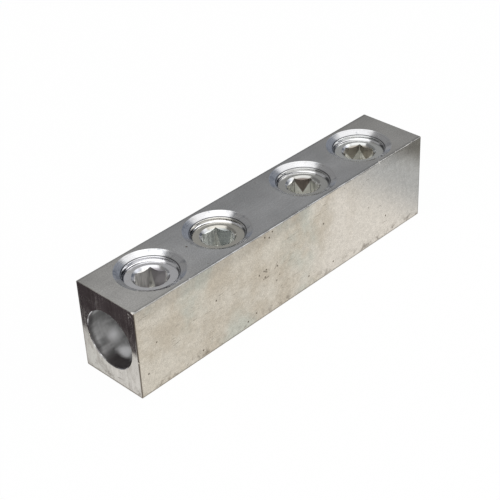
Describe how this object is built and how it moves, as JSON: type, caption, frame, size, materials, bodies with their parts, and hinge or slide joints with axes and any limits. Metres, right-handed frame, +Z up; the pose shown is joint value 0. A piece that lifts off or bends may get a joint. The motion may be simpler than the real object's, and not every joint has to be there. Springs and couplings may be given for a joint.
{
  "type": "cable splice connector",
  "caption": "Rectangular plated aluminium bar with a round blind bore in each end and hex-socket set screws sunk in its top, which clamp a heavy cable in each bore.",
  "frame": {"origin": "middle of the bar's underside", "axes": "+X along the bar and its bores, +Y across the bar, +Z up, the way the screws back out"},
  "size_m": [0.1334, 0.0254, 0.0318],
  "materials": {
    "plated_bar": "satin tin plate, stained and scuffed",
    "set_screws": "bright machined"
  },
  "bodies": {
    "splice_body": {"splice_body": "plated_bar"},
    "set_screw_1": {"set_screw_1": "set_screws"},
    "set_screw_2": {"set_screw_2": "set_screws"},
    "set_screw_3": {"set_screw_3": "set_screws"},
    "set_screw_4": {"set_screw_4": "set_screws"}
  },
  "joints": [
    {"name": "set_screw_1_travel", "type": "slide", "parent": "splice_body", "child": "set_screw_1", "axis": [0, 0, 1], "range_m": [-0.00317, 0.0127]},
    {"name": "set_screw_2_travel", "type": "slide", "parent": "splice_body", "child": "set_screw_2", "axis": [0, 0, 1], "range_m": [-0.00317, 0.0127]},
    {"name": "set_screw_3_travel", "type": "slide", "parent": "splice_body", "child": "set_screw_3", "axis": [0, 0, 1], "range_m": [-0.00317, 0.0127]},
    {"name": "set_screw_4_travel", "type": "slide", "parent": "splice_body", "child": "set_screw_4", "axis": [0, 0, 1], "range_m": [-0.00317, 0.0127]}
  ]
}
